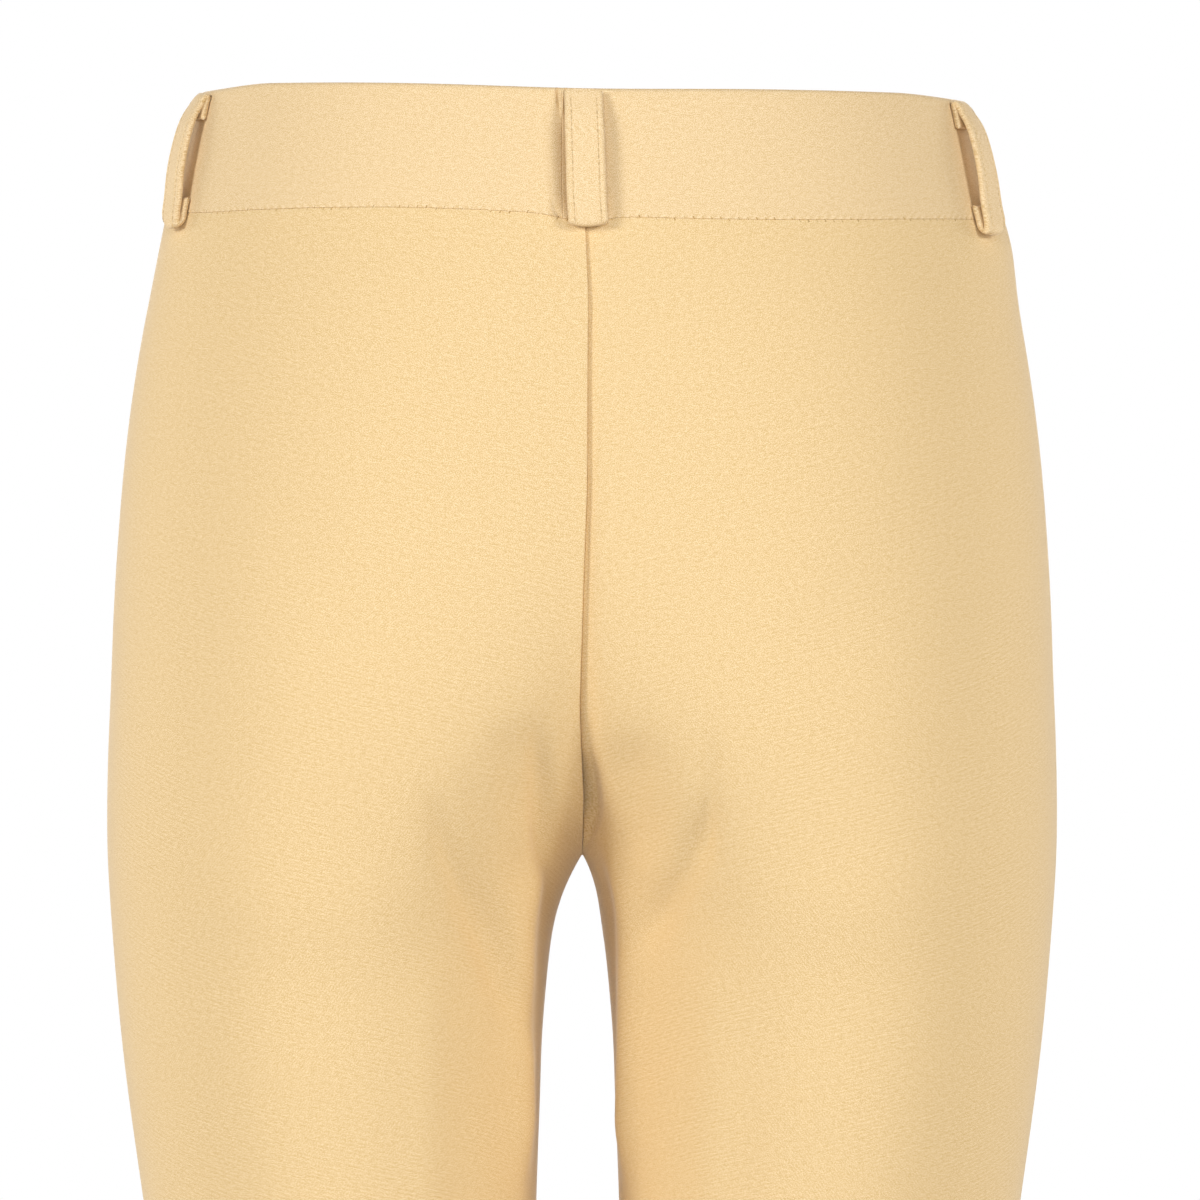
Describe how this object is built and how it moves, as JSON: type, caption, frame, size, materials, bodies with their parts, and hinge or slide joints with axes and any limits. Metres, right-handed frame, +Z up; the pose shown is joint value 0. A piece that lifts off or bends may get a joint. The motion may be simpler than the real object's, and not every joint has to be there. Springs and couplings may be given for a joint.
{
  "type": "jodhpurs",
  "caption": "Child's close-fitting riding trousers with a waistband, belt loops, a zip fly and a waist button, held open as if worn.",
  "frame": {"origin": "middle of the waist ring, half way up the waistband", "axes": "+Z up along the body, the wearer's front towards -Y, the wearer's left towards +X"},
  "size_m": [0.2841, 0.195, 0.8905],
  "materials": {
    "leg_twill": "Pale fawn brushed cotton twill with a little stretch",
    "waistband_twill": "The same fawn twill, folded double over stiffening",
    "loop_twill": "The same fawn twill, folded into flat straps",
    "zip_tape": "Woven polyester tape, matt",
    "slider_metal": "Nickel-plated, satin",
    "button_plastic": "Polished polyester, tan"
  },
  "bodies": {
    "root": {"back_left": "leg_twill", "back_right": "leg_twill", "front_left": "leg_twill", "front_right": "leg_twill", "waistband_left": "waistband_twill", "waistband_right": "waistband_twill", "loop_back": "loop_twill", "loop_side_left": "loop_twill", "loop_side_right": "loop_twill", "loop_front_left": "loop_twill", "loop_front_right": "loop_twill", "zip": "zip_tape", "zip_slider": "slider_metal", "waist_button": "button_plastic"}
  },
  "joints": []
}
